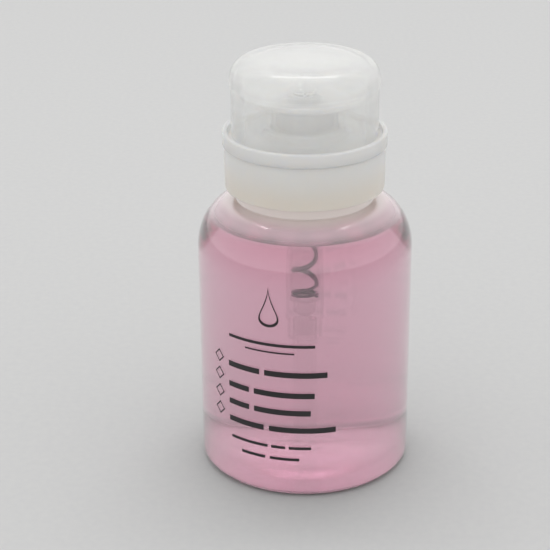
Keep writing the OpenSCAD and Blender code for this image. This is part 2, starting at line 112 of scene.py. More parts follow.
# %% Light and floor
SKY_HORIZON = 0.95
SKY_ZENITH = 0.84
SKY_BACK = 0.05
BACK_HEIGHT = math.radians(45)
PANEL_WIDTH = 1.05
PANEL_DEPTH = 0.25
PANEL_HEIGHT = 1.3
PANEL_BACK = 0.42
PANEL_POWER = 3.2
HORIZON_TO_ZENITH = (0.1, 1.0)
BACK_EDGE_TO_MIDDLE = (0.5, 0.95)
LIGHT_BOUNCES = 32
FLOOR_GAP = 0.05 * MM
FLOOR_REACH = 4.0


def remap(tree, value, source, target, kind="SMOOTHSTEP"):
    """A value carried over from one range to another."""
    node = tree.nodes.new("ShaderNodeMapRange")
    node.interpolation_type = kind
    for name, limit in zip(("From Min", "From Max", "To Min", "To Max"), (*source, *target)):
        node.inputs[name].default_value = limit
    tree.links.new(value, node.inputs["Value"])
    return node.outputs["Result"]


def make_sky():
    """A pale, even sky, a little brighter behind the bottle."""
    world = bpy.data.worlds.new("sky")
    world.use_nodes = True
    tree = world.node_tree
    nodes, links = tree.nodes, tree.links
    background = nodes["Background"]
    background.inputs["Color"].default_value = (1.0, 1.0, 0.99, 1)
    direction = nodes.new("ShaderNodeTexCoord").outputs["Generated"]
    split = nodes.new("ShaderNodeSeparateXYZ")
    links.new(direction, split.inputs[0])
    height = remap(tree, split.outputs["Z"], HORIZON_TO_ZENITH, (SKY_HORIZON, SKY_ZENITH))
    towards = nodes.new("ShaderNodeVectorMath")
    towards.operation = "DOT_PRODUCT"
    towards.inputs[1].default_value = (0, math.cos(BACK_HEIGHT), math.sin(BACK_HEIGHT))
    links.new(direction, towards.inputs[0])
    behind = remap(tree, towards.outputs["Value"], BACK_EDGE_TO_MIDDLE, (0, SKY_BACK))
    both = nodes.new("ShaderNodeMath")
    links.new(height, both.inputs[0])
    links.new(behind, both.inputs[1])
    links.new(both.outputs[0], background.inputs["Strength"])
    bpy.context.scene.world = world


def make_panel():
    """The wide soft panel overhead."""
    data = bpy.data.lights.new("panel", "AREA")
    data.shape = "RECTANGLE"
    data.size = PANEL_WIDTH
    data.size_y = PANEL_DEPTH
    data.energy = PANEL_POWER
    panel = in_scene("panel", data)
    panel.location = (0, PANEL_BACK, PANEL_HEIGHT)
    panel.rotation_euler = (-math.atan2(PANEL_BACK, PANEL_HEIGHT), 0, 0)


def make_floor(material):
    """A wide plain sheet, a hair under the bottle."""
    mesh = bpy.data.meshes.new("floor")
    signs = ((-1, -1), (1, -1), (1, 1), (-1, 1))
    corners = [(x * FLOOR_REACH, y * FLOOR_REACH, -FLOOR_GAP) for x, y in signs]
    mesh.from_pydata(corners, [], [(0, 1, 2, 3)])
    mesh.materials.append(material)
    floor = in_scene("floor", mesh)


bpy.context.scene.view_settings.view_transform = "Standard"
for kind in ("max", "transmission", "glossy", "diffuse", "transparent_max"):
    setattr(bpy.context.scene.cycles, kind + "_bounces", LIGHT_BOUNCES)
make_sky()
make_panel()
print("light bounces:", LIGHT_BOUNCES)

# %% [markdown]
# Plastics need very little colour and a lot of surface. Each finish below is a Principled shader with
# a few helpers: a fine noise that roughens it unevenly, a broad noise that tints it, and a bump for
# the waves or the grain that the mould left. Everything reads Object coordinates, so a pattern stays
# on its piece when it moves.

# %% Material helpers


def math_node(tree, operation, first, second=None, third=None):
    """One Math node. Its inputs are sockets or numbers."""
    node = tree.nodes.new("ShaderNodeMath")
    node.operation = operation
    for i, value in enumerate((first, second, third)):
        if value is None:
            continue
        if isinstance(value, (int, float)):
            node.inputs[i].default_value = value
        else:
            tree.links.new(value, node.inputs[i])
    return node.outputs[0]


def start_material(name):
    """A new material, with its Principled shader and its coordinates."""
    material = bpy.data.materials.new(name)
    material.use_nodes = True
    nodes = material.node_tree.nodes
    shader = nodes["Principled BSDF"]
    coordinates = nodes.new("ShaderNodeTexCoord")
    return material, shader, coordinates.outputs["Object"]


def add_noise(material, coordinates, scale, detail=3.0, stretch=(1, 1, 1)):
    """A noise on the piece, with so many grains to the metre."""
    nodes, links = material.node_tree.nodes, material.node_tree.links
    mapping = nodes.new("ShaderNodeMapping")
    mapping.inputs["Scale"].default_value = stretch
    noise = nodes.new("ShaderNodeTexNoise")
    noise.inputs["Scale"].default_value = scale
    noise.inputs["Detail"].default_value = detail
    links.new(coordinates, mapping.inputs["Vector"])
    links.new(mapping.outputs["Vector"], noise.inputs["Vector"])
    return noise.outputs["Fac"]


NOISE_LOW = 0.3
NOISE_HIGH = 0.7


def spread(material, factor, low, high):
    """The noise spread between two values."""
    return remap(material.node_tree, factor, (NOISE_LOW, NOISE_HIGH), (low, high), "LINEAR")


def tint(material, shader, factor, first, second):
    """Base colour that drifts between two close colours."""
    nodes, links = material.node_tree.nodes, material.node_tree.links
    ramp = nodes.new("ShaderNodeValToRGB")
    ramp.color_ramp.elements[0].position = NOISE_LOW
    ramp.color_ramp.elements[0].color = (*first, 1)
    ramp.color_ramp.elements[1].position = NOISE_HIGH
    ramp.color_ramp.elements[1].color = (*second, 1)
    links.new(factor, ramp.inputs["Fac"])
    links.new(ramp.outputs["Color"], shader.inputs["Base Color"])


def add_bump(material, shader, factor, depth, strength):
    """Small relief from a noise, with its depth in metres."""
    nodes, links = material.node_tree.nodes, material.node_tree.links
    bump = nodes.new("ShaderNodeBump")
    bump.inputs["Distance"].default_value = depth
    bump.inputs["Strength"].default_value = strength
    links.new(factor, bump.inputs["Height"])
    links.new(bump.outputs["Normal"], shader.inputs["Normal"])


def by_height(material, coordinates, start_z, end_z, low, high):
    """A value that changes smoothly between two heights on the piece, in millimetres."""
    tree = material.node_tree
    split = tree.nodes.new("ShaderNodeSeparateXYZ")
    tree.links.new(coordinates, split.inputs[0])
    return remap(tree, split.outputs["Z"], (start_z * MM, end_z * MM), (low, high))


def blush(material, shader, coordinates, start_z, end_z, colour):
    """Multiplies the base colour by another one, more and more between two heights in millimetres."""
    nodes, links = material.node_tree.nodes, material.node_tree.links
    mix = nodes.new("ShaderNodeMix")
    mix.data_type = "RGBA"
    mix.blend_type = "MULTIPLY"
    links.new(by_height(material, coordinates, start_z, end_z, 0.0, 1.0), mix.inputs["Factor"])
    colours = [socket for socket in mix.inputs if socket.type == "RGBA"]
    mixed = [socket for socket in mix.outputs if socket.type == "RGBA"][0]
    links.new(shader.inputs["Base Color"].links[0].from_socket, colours[0])
    colours[1].default_value = (*colour, 1)
    links.new(mixed, shader.inputs["Base Color"])


print("helpers for materials are ready")

# %% [markdown]
# Blown PET is clear on the side, where it was stretched most, and hazier at the shoulder and at the
# neck. So how much light goes through and how rough the skin is follow the height on the bottle. The
# wall's colour follows it too, but that is painted light: a painted pink from the upper side over the
# shoulder, for the pink light of the liquid, which fades to a painted tan on the neck. The liquid is
# the other way round: it has no colour on its surface, and the deeper the light goes, the pinker it
# comes out. That needs a volume, which is why the liquid is a closed solid.

# %% The clear bottle and the liquid
GLOSS_ROUGHNESS = 0.03
PET_COLOURS = ((0.99, 0.975, 0.98), (0.99, 0.985, 0.985))
PET_IOR = 1.57
# From this height up, the wall's colour is multiplied by a painted pink that stands for the liquid's
# pink light.
PAINTED_PINK_FROM = 60.0
HAZE_FROM = 75.5
HAZE_TO = 79.5
NECK_FROM = 82.0
BASE_HAZE = (0.5, 4.0)
SHOULDER_HAZE = 0.45
NECK_HAZE = 0.90
# Painted pink light on the shoulder, for the liquid's pink light in the wall above the liquid line.
SHOULDER_PAINTED_PINK = (0.985, 0.77, 0.84)
# Painted light on the neck: this draws the painted pink down to a tan, for pink light from beneath.
NECK_PAINTED_TAN = (1.0, 1.18, 1.04)
SIDE_ROUGH = 0.03
SHOULDER_ROUGH = 0.15
BASE_ROUGH = 0.18
WAVES = 45.0
WAVE_DEPTH = 0.0004
LIQUID_IOR = 1.36
LIQUID_COLOUR = (0.80, 0.10, 0.40)
LIQUID_DENSITY = 14.0


def pet_clearness(material, coordinates):
    """How much light goes through the skin: all on the side, less at the shoulder and the neck."""
    shoulder = by_height(material, coordinates, HAZE_FROM, HAZE_TO, 1.0, 1 - SHOULDER_HAZE)
    neck = by_height(material, coordinates, HAZE_TO, NECK_FROM, 1.0, 1 - NECK_HAZE)
    return math_node(material.node_tree, "MULTIPLY", shoulder, neck)


def pet_roughness(material, coordinates):
    """How rough the skin is: smooth on the side, rougher at the shoulder and under the base."""
    top = by_height(material, coordinates, HAZE_FROM, HAZE_TO, SIDE_ROUGH, SHOULDER_ROUGH)
    base = by_height(material, coordinates, *BASE_HAZE, BASE_ROUGH, 0.0)
    rough = math_node(material.node_tree, "MAXIMUM", top, base)
    speckle = spread(material, add_noise(material, coordinates, 900.0), 0.8, 1.2)
    return math_node(material.node_tree, "MULTIPLY", rough, speckle)


def clear_pet():
    """Clear glossy blown PET with slow waves, and painted pink light on the shoulder and neck."""
    material, shader, coordinates = start_material("clear_pet")
    shader.inputs["IOR"].default_value = PET_IOR
    shader.inputs["Coat Weight"].default_value = 1.0
    shader.inputs["Coat Roughness"].default_value = GLOSS_ROUGHNESS
    links = material.node_tree.links
    links.new(pet_clearness(material, coordinates), shader.inputs["Transmission Weight"])
    links.new(pet_roughness(material, coordinates), shader.inputs["Roughness"])
    waves = add_noise(material, coordinates, WAVES, detail=1.0, stretch=(1, 1, 0.25))
    tint(material, shader, waves, *PET_COLOURS)
    # Painted pink light: the liquid's pink as it shows in the wall of the upper side and the shoulder.
    blush(material, shader, coordinates, PAINTED_PINK_FROM, HAZE_TO, SHOULDER_PAINTED_PINK)
    # The neck's tan is painted light too: pink light from beneath, drawn from the shoulder's painted
    # pink.
    blush(material, shader, coordinates, HAZE_TO, NECK_FROM, NECK_PAINTED_TAN)
    add_bump(material, shader, waves, WAVE_DEPTH, 0.12)
    return material


def pink_liquid():
    """A clear liquid that takes its colour from its depth."""
    material, shader, coordinates = start_material("clear_pink_liquid")
    shader.inputs["Base Color"].default_value = (1, 1, 1, 1)
    shader.inputs["Transmission Weight"].default_value = 1.0
    shader.inputs["IOR"].default_value = LIQUID_IOR
    shader.inputs["Roughness"].default_value = 0.0
    ripple = add_noise(material, coordinates, 60.0, detail=0.0)
    add_bump(material, shader, ripple, 0.0001, 0.05)
    nodes, links = material.node_tree.nodes, material.node_tree.links
    absorb = nodes.new("ShaderNodeVolumeAbsorption")
    absorb.inputs["Color"].default_value = (*LIQUID_COLOUR, 1)
    absorb.inputs["Density"].default_value = LIQUID_DENSITY
    links.new(absorb.outputs["Volume"], nodes["Material Output"].inputs["Volume"])
    return material


PET = clear_pet()
LIQUID = pink_liquid()
print("clear finishes:", PET.name, LIQUID.name)

# %% [markdown]
# The other finishes are moulded plastics, a glass, two metals, paper and ink. The lid is the hard
# one: it is milky, yet the dish shows through it and the sky lights the inside. A share of the light
# therefore passes straight through the skin, which is what the cover value sets, and the rest is bent
# and softened. The same value makes the wetted barrel and the tube nearly vanish in the liquid, as
# clear plastic does.

# %% Plastics, metals, paper and ink
MOULD_GRAIN = 700.0
FINE_GRAIN = 500.0
SATIN_DEPTH = 0.00002
GLOW_COLOUR = (1.0, 0.93, 0.84)
FLOOR_COLOURS = ((0.60, 0.60, 0.605), (0.62, 0.62, 0.62))
LID_COLOURS = ((0.985, 0.985, 0.98), (0.998, 0.998, 0.993))
DECK_COLOURS = ((0.975, 0.972, 0.965), (0.985, 0.982, 0.975))
COLLAR_COLOURS = ((0.90, 0.885, 0.86), (0.915, 0.90, 0.875))
COLLAR_TINT = (0.97, 0.925, 0.87)
COLLAR_TINT_Z = (96.0, 86.0)
INNER_COLOURS = ((0.96, 0.955, 0.945), (0.975, 0.97, 0.965))
TUBE_COLOURS = ((0.97, 0.95, 0.96), (0.99, 0.98, 0.985))
SEAL_COLOURS = ((0.80, 0.84, 0.88), (0.86, 0.89, 0.92))
FOAM_COLOURS = ((0.82, 0.82, 0.80), (0.90, 0.90, 0.88))
INK_COLOURS = ((0.012, 0.011, 0.012), (0.02, 0.018, 0.02))


def plastic(name, colours, rough, through=0.0, ior=1.45, grain=FINE_GRAIN, depth=SATIN_DEPTH,
            glow=0.0, gloss=0.0, cover=1.0, blushes=()):
    """A plastic or a glass: two close colours, a range of roughness, and what it does with light."""
    material, shader, coordinates = start_material(name)
    shader.inputs["Transmission Weight"].default_value = through
    shader.inputs["IOR"].default_value = ior
    shader.inputs["Coat Weight"].default_value = gloss
    shader.inputs["Coat Roughness"].default_value = GLOSS_ROUGHNESS
    shader.inputs["Alpha"].default_value = cover
    if glow:
        shader.inputs["Subsurface Weight"].default_value = 1.0
        shader.inputs["Subsurface Radius"].default_value = GLOW_COLOUR
        shader.inputs["Subsurface Scale"].default_value = glow
    fine = add_noise(material, coordinates, grain)
    broad = add_noise(material, coordinates, 60.0, detail=1.0)
    tint(material, shader, broad, *colours)
    for start_z, end_z, colour in blushes:
        blush(material, shader, coordinates, start_z, end_z, colour)
    roughness = spread(material, fine, *rough)
    material.node_tree.links.new(roughness, shader.inputs["Roughness"])
    add_bump(material, shader, fine, depth, 0.4)
    return material


def metal(name, colour, rough, grain, stretch):
    """A metal with fine marks along it."""
    material, shader, coordinates = start_material(name)
    shader.inputs["Metallic"].default_value = 1.0
    fine = add_noise(material, coordinates, grain, stretch=stretch)
    broad = add_noise(material, coordinates, 300.0, detail=1.0)
    darker = tuple(0.8 * c for c in colour)
    tint(material, shader, broad, darker, colour)
    roughness = spread(material, fine, *rough)
    material.node_tree.links.new(roughness, shader.inputs["Roughness"])
    add_bump(material, shader, fine, 0.00001, 0.3)
    return material


def floor_paper():
    """Matt pale paper."""
    material, shader, coordinates = start_material("floor_paper")
    fine = add_noise(material, coordinates, 400.0)
    tint(material, shader, fine, *FLOOR_COLOURS)
    shader.inputs["Roughness"].default_value = 0.8
    return material


make_floor(floor_paper())
FROSTED = plastic("frosted_pp", LID_COLOURS, (0.04, 0.08), through=0.70, ior=1.15, grain=MOULD_GRAIN,
                  gloss=1.0, cover=0.60)
LINED = plastic("lined_pp", DECK_COLOURS, (0.14, 0.22), through=0.25, ior=1.20, grain=MOULD_GRAIN,
                glow=0.0008, gloss=0.3, cover=0.60)
DECK = plastic("deck_pp", DECK_COLOURS, (0.14, 0.22), through=0.20, ior=1.20, grain=MOULD_GRAIN,
               glow=0.0014, gloss=0.3, cover=0.85)
MILKY = plastic("milky_pp", COLLAR_COLOURS, (0.28, 0.38), through=0.20, ior=1.30, grain=MOULD_GRAIN,
                depth=0.00003, glow=0.0014, gloss=0.2, blushes=((*COLLAR_TINT_Z, COLLAR_TINT),))
NATURAL = plastic("natural_pp", INNER_COLOURS, (0.15, 0.30), through=0.45, ior=1.20, glow=0.0010)
WETTED = plastic("wetted_pp", TUBE_COLOURS, (0.05, 0.15), through=0.60, ior=1.20, depth=0.00001,
                 cover=0.16)
TUBE = plastic("clear_tube_pe", TUBE_COLOURS, (0.05, 0.15), through=0.60, ior=1.20, depth=0.00001,
               cover=0.06)
SOFT = plastic("soft_pe", SEAL_COLOURS, (0.45, 0.60))
FOAM = plastic("gasket_foam", FOAM_COLOURS, (0.75, 0.90), grain=2500.0, depth=0.0002)
SPRING_WIRE = metal("spring_wire", (0.24, 0.17, 0.24), (0.30, 0.45), 2500.0, (1, 1, 4))
BALL_GLASS = plastic("valve_glass", TUBE_COLOURS, (0.02, 0.05), through=0.90, ior=1.10, depth=0.000001,
                     cover=0.25)
BALL_STEEL = metal("valve_steel", (0.62, 0.62, 0.64), (0.08, 0.18), 1500.0, (1, 1, 1))
INK = plastic("black_ink", INK_COLOURS, (0.30, 0.45), grain=3000.0, depth=0.000005)
print("finishes:", len(bpy.data.materials))

# %% [markdown]
# An outline is a list of (radius, height) points in millimetres. Moulded plastic has no knife edges,
# so each corner gets a small arc. The arc is also what catches the light: the bright lines round the
# lid's rim are nothing but its rounded corners. A corner takes its radius from the third number of
# its point, where there is one.

# %% Outlines
SIDE_SHARE = 0.45


def arc(centre, radius_r, radius_z, start, end, steps):
    """Points on an arc of an ellipse, from one angle to another, in degrees."""
    points = []
    for i in range(steps + 1):
        a = math.radians(start + (end - start) * i / steps)
        points.append((centre[0] + radius_r * math.cos(a), centre[1] + radius_z * math.sin(a)))
    return points


def soften(points, closed, steps=5):
    """Rounds each corner that has a radius."""
    result = []
    count = len(points)
    for i, point in enumerate(points):
        corner = Vector(point[:2])
        radius = point[2] if len(point) > 2 else 0
        if radius <= 0 or (not closed and i in (0, count - 1)):
            result.append(tuple(corner))
            continue
        before = Vector(points[i - 1][:2]) - corner
        after = Vector(points[(i + 1) % count][:2]) - corner
        half = before.angle(after) / 2
        reach = min(radius / math.tan(half), SIDE_SHARE * before.length, SIDE_SHARE * after.length)
        first = corner + before.normalized() * reach
        last = corner + after.normalized() * reach
        for j in range(steps + 1):
            t = j / steps
            result.append(tuple((1 - t) ** 2 * first + 2 * t * (1 - t) * corner + t ** 2 * last))
    return result


print("points on a quarter arc:", len(arc((0, 0), 1, 1, 0, 90, 10)))

# %% [markdown]
# Turning is a rule, so Geometry Nodes do it. The tree takes the outline's points and lays a grid over
# them: along the grid's columns it walks round the axis, along its rows it walks down the outline.
# The seam and the poles are then merged, which leaves a closed skin. Edges sharper than a limit stay
# sharp in the shading.

# %% The turning tree
JOIN_DISTANCE = 1e-6
NO_FADE = 1e-5
SHARP_ANGLE = math.radians(40)
SEGMENTS = 160


def start_tree(name, result, sockets):
    """A tree with named inputs and one output of geometry, and the node that gives its inputs."""
    tree = bpy.data.node_groups.new(name, "GeometryNodeTree")
    for label, (kind, value) in sockets.items():
        socket = tree.interface.new_socket(name=label, in_out="INPUT", socket_type="NodeSocket" + kind)
        if value is not None:
            socket.default_value = value
    tree.interface.new_socket(name=result, in_out="OUTPUT", socket_type="NodeSocketGeometry")
    return tree, tree.nodes.new("NodeGroupInput")


def merged(tree, geometry):
    """The mesh with its seams and poles closed."""
    merge = tree.nodes.new("GeometryNodeMergeByDistance")
    merge.inputs["Distance"].default_value = JOIN_DISTANCE
    tree.links.new(geometry, merge.inputs["Geometry"])
    return merge.outputs[0]


def finish_tree(tree, given, geometry):
    """The last nodes of every tree: real geometry, one finish, the output."""
    realize = tree.nodes.new("GeometryNodeRealizeInstances")
    tree.links.new(geometry, realize.inputs[0])
    finish = tree.nodes.new("GeometryNodeSetMaterial")
    tree.links.new(realize.outputs[0], finish.inputs["Geometry"])
    tree.links.new(given.outputs["Finish"], finish.inputs["Material"])
    tree.links.new(finish.outputs[0], tree.nodes.new("NodeGroupOutput").inputs[0])


def outline_point(tree, given, row, share):
    """The outline's point of a row. Near both ends of a fading piece it draws in to the heart."""
    nodes, links = tree.nodes, tree.links
    sample = nodes.new("GeometryNodeSampleIndex")
    sample.data_type = "FLOAT_VECTOR"
    links.new(given.outputs["Outline"], sample.inputs["Geometry"])
    links.new(nodes.new("GeometryNodeInputPosition").outputs[0], sample.inputs["Value"])
    links.new(row, sample.inputs["Index"])
    ends = math_node(tree, "MINIMUM", share, math_node(tree, "SUBTRACT", 1.0, share))
    faded = math_node(tree, "DIVIDE", ends, math_node(tree, "MAXIMUM", given.outputs["Fade"], NO_FADE))
    full = math_node(tree, "LESS_THAN", given.outputs["Fade"], NO_FADE)
    scale = math_node(tree, "MINIMUM", math_node(tree, "ADD", faded, full), 1.0)
    blend = nodes.new("ShaderNodeMix")
    blend.data_type = "VECTOR"
    vectors = [s for s in blend.inputs if s.type == "VECTOR" and s.name in ("A", "B")]
    links.new(scale, blend.inputs[0])
    links.new(given.outputs["Heart"], vectors[0])
    links.new(sample.outputs[0], vectors[1])
    split = nodes.new("ShaderNodeSeparateXYZ")
    links.new([s for s in blend.outputs if s.type == "VECTOR"][0], split.inputs[0])
    return split.outputs[0], split.outputs[2]


def shaded(tree, given, geometry):
    """Smooth shading, with the edges past the sharp angle left sharp."""
    nodes, links = tree.nodes, tree.links
    smooth = nodes.new("GeometryNodeSetShadeSmooth")
    links.new(geometry, smooth.inputs["Geometry"])
    sharp = nodes.new("GeometryNodeSetShadeSmooth")
    sharp.domain = "EDGE"
    bend = nodes.new("GeometryNodeInputMeshEdgeAngle").outputs["Unsigned Angle"]
    over = math_node(tree, "GREATER_THAN", bend, given.outputs["Sharp angle"])
    links.new(over, sharp.inputs["Selection"])
    sharp.inputs["Shade Smooth"].default_value = False
    links.new(smooth.outputs[0], sharp.inputs["Geometry"])
    return sharp.outputs[0]


def turning_tree():
    """Turns the outline of the object's own points about the Z axis."""
    tree, given = start_tree("turned_piece", "Skin", {
        "Outline": ("Geometry", None),
        "Outline points": ("Int", 2),
        "Segments": ("Int", SEGMENTS),
        "Turns": ("Float", 1.0),
        "Rise": ("Float", 0.0),
        "Start angle": ("Float", 0.0),
        "Fade": ("Float", 0.0),
        "Heart": ("Vector", None),
        "Sharp angle": ("Float", SHARP_ANGLE),
        "Finish": ("Material", None),
    })
    nodes, links = tree.nodes, tree.links
    columns = math_node(tree, "ADD", given.outputs["Segments"], 1)
    grid = nodes.new("GeometryNodeMeshGrid")
    links.new(given.outputs["Outline points"], grid.inputs["Vertices X"])
    links.new(columns, grid.inputs["Vertices Y"])
    index = nodes.new("GeometryNodeInputIndex").outputs[0]
    middle = math_node(tree, "ADD", index, 0.5)
    row = math_node(tree, "FLOOR", math_node(tree, "DIVIDE", middle, columns))
    column = math_node(tree, "SUBTRACT", index, math_node(tree, "MULTIPLY", row, columns))
    share = math_node(tree, "DIVIDE", column, given.outputs["Segments"])
    radius, height = outline_point(tree, given, row, share)
    turns = math_node(tree, "MULTIPLY", share, given.outputs["Turns"])
    turned_by = math_node(tree, "MULTIPLY", turns, 2 * math.pi)
    angle = math_node(tree, "ADD", turned_by, given.outputs["Start angle"])
    lift = math_node(tree, "MULTIPLY", share, given.outputs["Rise"])
    place = nodes.new("GeometryNodeSetPosition")
    point = nodes.new("ShaderNodeCombineXYZ")
    links.new(math_node(tree, "MULTIPLY", radius, math_node(tree, "COSINE", angle)), point.inputs[0])
    links.new(math_node(tree, "MULTIPLY", radius, math_node(tree, "SINE", angle)), point.inputs[1])
    links.new(math_node(tree, "ADD", height, lift), point.inputs[2])
    links.new(grid.outputs["Mesh"], place.inputs["Geometry"])
    links.new(point.outputs[0], place.inputs["Position"])
    finish_tree(tree, given, shaded(tree, given, merged(tree, place.outputs[0])))
    return tree


TURNING = turning_tree()
print("inputs and outputs of the turning tree:", len(TURNING.interface.items_tree))

# %% [markdown]
# A few helpers take an outline to a finished piece. The outline becomes a mesh of points and edges,
# the tree turns it, and the result is kept as a plain mesh with one material and with its normals
# facing outwards. Pieces of one body are joined. Each piece prints its size, to be compared with the
# frame's.

# %% From outline to piece


def run_tree(obj, tree, values):
    """Sets the tree's inputs by their identifiers and turns the result into a plain mesh."""
    modifier = obj.modifiers.new("tree", "NODES")
    modifier.node_group = tree
    keys = {i.name: i.identifier for i in tree.interface.items_tree if i.in_out == "INPUT"}
    for name, value in values.items():
        modifier[keys[name]] = value
    bpy.context.view_layer.update()
    evaluated = obj.evaluated_get(bpy.context.evaluated_depsgraph_get())
    mesh = bpy.data.meshes.new_from_object(evaluated)
    obj.modifiers.remove(modifier)
    old = obj.data
    obj.data = mesh
    mesh.name = obj.name
    if isinstance(old, bpy.types.Mesh):
        bpy.data.meshes.remove(old)
    return obj


def one_finish(obj, material):
    """Keeps one material slot. The tree's result has an empty slot before it."""
    obj.data.materials.clear()
    obj.data.materials.append(material)
    obj.data.polygons.foreach_set("material_index", [0] * len(obj.data.polygons))
    return obj


def face_outwards(obj):
    """Recalculates the normals of a closed skin."""
    work = bmesh.new()
    work.from_mesh(obj.data)
    bmesh.ops.recalc_face_normals(work, faces=work.faces)
    work.to_mesh(obj.data)
    work.free()
    return obj


def turned(name, outline, material, closed=True, segments=SEGMENTS, **values):
    """A piece turned from an outline in millimetres. A closed outline makes a ring."""
    points = [(r * MM, 0, z * MM) for r, z in outline]
    if closed:
        points.append(points[0])
    mesh = bpy.data.meshes.new(name)
    mesh.from_pydata(points, [(i, i + 1) for i in range(len(points) - 1)], [])
    obj = in_scene(name, mesh)
    given = {"Outline points": len(points), "Segments": segments, "Finish": material, **values}
    run_tree(obj, TURNING, given)
    one_finish(obj, material)
    return face_outwards(obj)


def join(name, first, *others):
    """Joins pieces of one body into one object."""
    bpy.ops.object.select_all(action="DESELECT")
    for obj in (first, *others):
        obj.select_set(True)
    bpy.context.view_layer.objects.active = first
    bpy.ops.object.join()
    first.name = name
    first.data.name = name
    return first


def report(obj):
    """Prints a piece's size in millimetres and its faces."""
    low = [min(v.co[i] for v in obj.data.vertices) / MM for i in range(3)]
    high = [max(v.co[i] for v in obj.data.vertices) / MM for i in range(3)]
    size = " x ".join("%.1f" % (h - l) for l, h in zip(low, high))
    print(obj.name, size, "mm,", len(obj.data.polygons), "faces")


print("steps round a turned piece:", SEGMENTS)

# %% [markdown]
# The bottle is blown: a thin even skin over the body, and a thick moulded neck that keeps its thread.
# The outline runs from the middle of the raised base, out round the foot and up the side, over the
# shoulder to the neck, and back down inside. The heights and radii that other pieces share are read
# from the frame.

# %% The bottle
bottle_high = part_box("bottle")[1]
BODY_R = bottle_high.x / MM
NECK_TOP = bottle_high.z / MM
FILL_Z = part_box("remover_liquid")[1].z / MM
COLLAR_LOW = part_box("screw_collar")[0].z / MM
FINE_SEGMENTS = 192
WALL = 0.9
BASE = 1.2
CORNER = 3.2
FOOT_R = 20.0
PUSH_UP = 1.4
RAISED_R = 8.0
SIDE_TOP = 67.0
SHOULDER_H = 14.4
SHOULDER_WALL = 0.7
NECK_WALL = 1.6
BAND_R = 19.4
NECK_ROOT_R = 17.5
NECK_BORE_R = 16.2


def base_curve(lift, steps=20):
    """The base, from the axis to the foot. Its raised middle slopes down smoothly."""
    points = [(0, PUSH_UP + lift)]
    for i in range(steps + 1):
        raised = (1 + math.cos(math.pi * i / steps)) / 2
        points.append((RAISED_R + (FOOT_R - RAISED_R) * i / steps, PUSH_UP * raised + lift))
    return points


def inner_side(gap, top_angle=90):
    """The inner face of the body, moved in by a gap, up to an angle on the shoulder."""
    corner = arc((BODY_R - CORNER, CORNER), CORNER - WALL - gap, CORNER - BASE - gap, -90, 0, 10)
    inner_neck = BAND_R - NECK_WALL
    width = BODY_R - WALL - gap - inner_neck
    shoulder = arc((inner_neck, SIDE_TOP), width, SHOULDER_H - SHOULDER_WALL - gap, 0, top_angle, 32)
    return corner + shoulder


outside = base_curve(0)
outside += arc((BODY_R - CORNER, CORNER), CORNER, CORNER, -90, 0, 12)
outside += arc((BAND_R, SIDE_TOP), BODY_R - BAND_R, SHOULDER_H, 0, 84, 36)
outside += soften([
    (BAND_R + 1.0, SIDE_TOP + SHOULDER_H - 0.05),
    (BAND_R, SIDE_TOP + SHOULDER_H, 0.6),
    (BAND_R, COLLAR_LOW, 0.3),
    (NECK_ROOT_R, COLLAR_LOW, 0.3),
    (NECK_ROOT_R, NECK_TOP, 0.3),
    (NECK_BORE_R, NECK_TOP, 0.3),
    (NECK_BORE_R, COLLAR_LOW),
], closed=False)
inside = base_curve(BASE) + inner_side(0)
bottle = turned("bottle_shell", outside + inside[::-1], PET, closed=False, segments=FINE_SEGMENTS)

THREAD_H = 1.2
THREAD_PITCH = 4.2333
THREAD_TURNS = 1.086
THREAD_FADE = 0.06
THREAD_SEGMENTS = 180
THREAD_START = COLLAR_LOW + 3.1


def ridge(root_r, tip_r):
    """The outline of a thread's ridge, about its own middle height."""
    return soften([(root_r, -1.1), (tip_r, -0.5, 0.4), (tip_r, 0.5, 0.4), (root_r, 1.1)], closed=True)


def thread(name, outline, material, start_z, start_angle=0.0):
    """A screw ridge. It fades out at both ends."""
    placed = [(r, z + start_z) for r, z in outline]
    heart = Vector((outline[0][0] * MM, 0, start_z * MM))
    rise = THREAD_PITCH * THREAD_TURNS * MM
    return turned(name, placed, material, segments=THREAD_SEGMENTS, Turns=THREAD_TURNS, Rise=rise,
                  Fade=THREAD_FADE, Heart=heart, **{"Start angle": start_angle})


neck_ridge = ridge(NECK_ROOT_R - 0.3, NECK_ROOT_R + THREAD_H)
neck_thread = thread("neck_thread", neck_ridge, PET, THREAD_START)
bottle = join("bottle_shell", bottle, neck_thread)
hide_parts("bottle")
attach(bottle, "bottle")
report(bottle)

# %% [markdown]
# The liquid wets the wall, so there must be no sliver of air between it and the bottle. Its skin is
# therefore set a little way into the plastic: a ray then passes from plastic to liquid with no gap.
# Its top curls up at the wall.

# %% The liquid
SOAK = 0.2
CURL_H = 0.5
CURL_W = 2.2
CURL_STEPS = 8
top_angle = math.degrees(math.asin((FILL_Z + CURL_H - SIDE_TOP) / (SHOULDER_H - SHOULDER_WALL + SOAK)))
liquid_outline = base_curve(BASE - SOAK) + inner_side(-SOAK, top_angle)
edge_r = liquid_outline[-1][0]
curl = []
for i in range(1, CURL_STEPS + 1):
    share = i / CURL_STEPS
    curl.append((edge_r - CURL_W * share, FILL_Z + CURL_H * (1 - share) ** 2.5))
liquid = turned("liquid_fill", liquid_outline + curl + [(0, FILL_Z)], LIQUID, closed=False,
                segments=FINE_SEGMENTS)
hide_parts("remover_liquid")
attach(liquid, "bottle")
report(liquid)

# %% [markdown]
# The collar is two skirts hung from one flange: the inner one carries the thread, the outer one is
# what the hand holds. That is why the real one looks darker in the middle. Its outer skirt leans out
# slightly towards the top.

